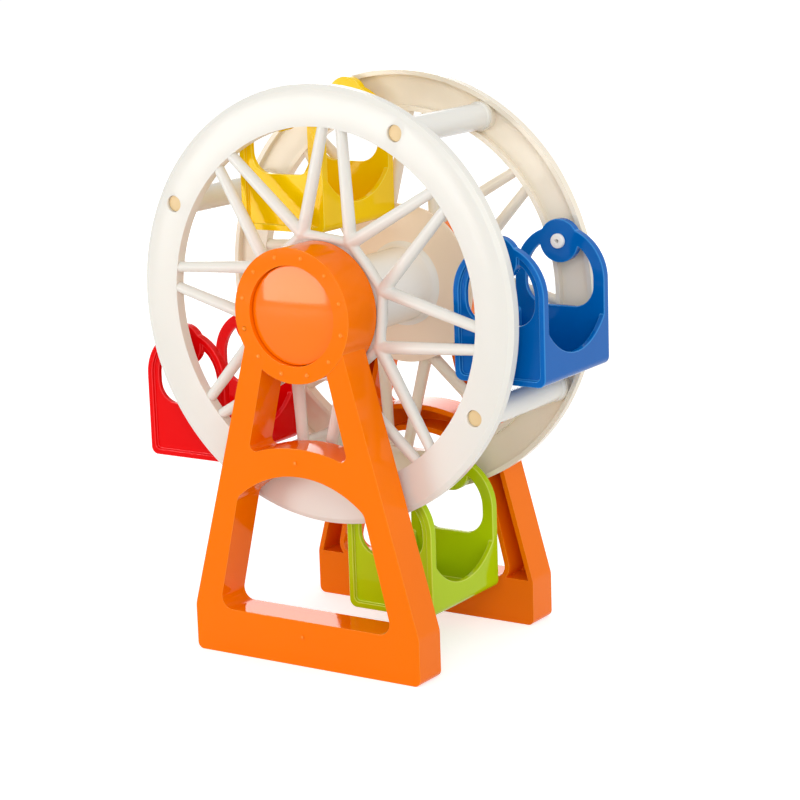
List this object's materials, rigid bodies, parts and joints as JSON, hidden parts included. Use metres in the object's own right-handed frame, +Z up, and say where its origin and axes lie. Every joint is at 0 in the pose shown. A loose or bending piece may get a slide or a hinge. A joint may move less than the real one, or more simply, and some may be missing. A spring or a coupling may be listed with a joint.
{
  "type": "toy ferris wheel",
  "caption": "Tabletop toy ferris wheel: a double spoked wheel turns on a fixed axle between A-frame stands, with hanging baskets that swing on pins.",
  "frame": {"origin": "middle of the footprint of the two stands, on the surface the toy stands on", "axes": "+Z up, +Y along the axle from the front stand to the back stand, +X to the right seen from the front"},
  "size_m": [0.1756, 0.096, 0.21],
  "materials": {
    "orange_plastic": "high gloss injection moulding",
    "ivory_plastic": "satin gloss, slightly translucent",
    "white_plastic": "satin gloss",
    "axle_plastic": "plain turned rod",
    "screw_steel": "zinc plated",
    "blue_plastic": "high gloss injection moulding",
    "yellow_plastic": "high gloss injection moulding",
    "red_plastic": "high gloss injection moulding",
    "green_plastic": "high gloss injection moulding"
  },
  "bodies": {
    "stand": {"front_stand": "orange_plastic", "back_stand": "orange_plastic", "front_hub_cap": "orange_plastic", "back_hub_cap": "orange_plastic", "axle": "axle_plastic", "axle_screws": "screw_steel"},
    "wheel": {"front_rim": "ivory_plastic", "back_rim": "ivory_plastic", "front_spokes": "ivory_plastic", "back_spokes": "ivory_plastic", "front_hub_ring": "ivory_plastic", "back_hub_ring": "ivory_plastic", "hub_tube": "ivory_plastic", "cross_bar_1": "ivory_plastic", "cross_bar_2": "ivory_plastic", "cross_bar_3": "ivory_plastic", "cross_bar_4": "ivory_plastic", "front_gondola_pins": "white_plastic", "back_gondola_pins": "white_plastic"},
    "blue_basket": {"blue_gondola": "blue_plastic"},
    "yellow_basket": {"yellow_gondola": "yellow_plastic"},
    "red_basket": {"red_gondola": "red_plastic"},
    "green_basket": {"green_gondola": "green_plastic"}
  },
  "joints": [
    {"name": "wheel_turn", "type": "hinge", "parent": "stand", "child": "wheel", "pos_m": [0, 0, 0.13], "axis": [0, 1, 0], "continuous": true},
    {"name": "blue_swing", "type": "hinge", "parent": "wheel", "child": "blue_basket", "pos_m": [0.06948, 0, 0.15071], "axis": [0, 1, 0], "continuous": true},
    {"name": "yellow_swing", "type": "hinge", "parent": "wheel", "child": "yellow_basket", "pos_m": [-0.02071, 0, 0.19948], "axis": [0, 1, 0], "continuous": true},
    {"name": "red_swing", "type": "hinge", "parent": "wheel", "child": "red_basket", "pos_m": [-0.06948, 0, 0.10929], "axis": [0, 1, 0], "continuous": true},
    {"name": "green_swing", "type": "hinge", "parent": "wheel", "child": "green_basket", "pos_m": [0.02071, 0, 0.06052], "axis": [0, 1, 0], "continuous": true}
  ]
}
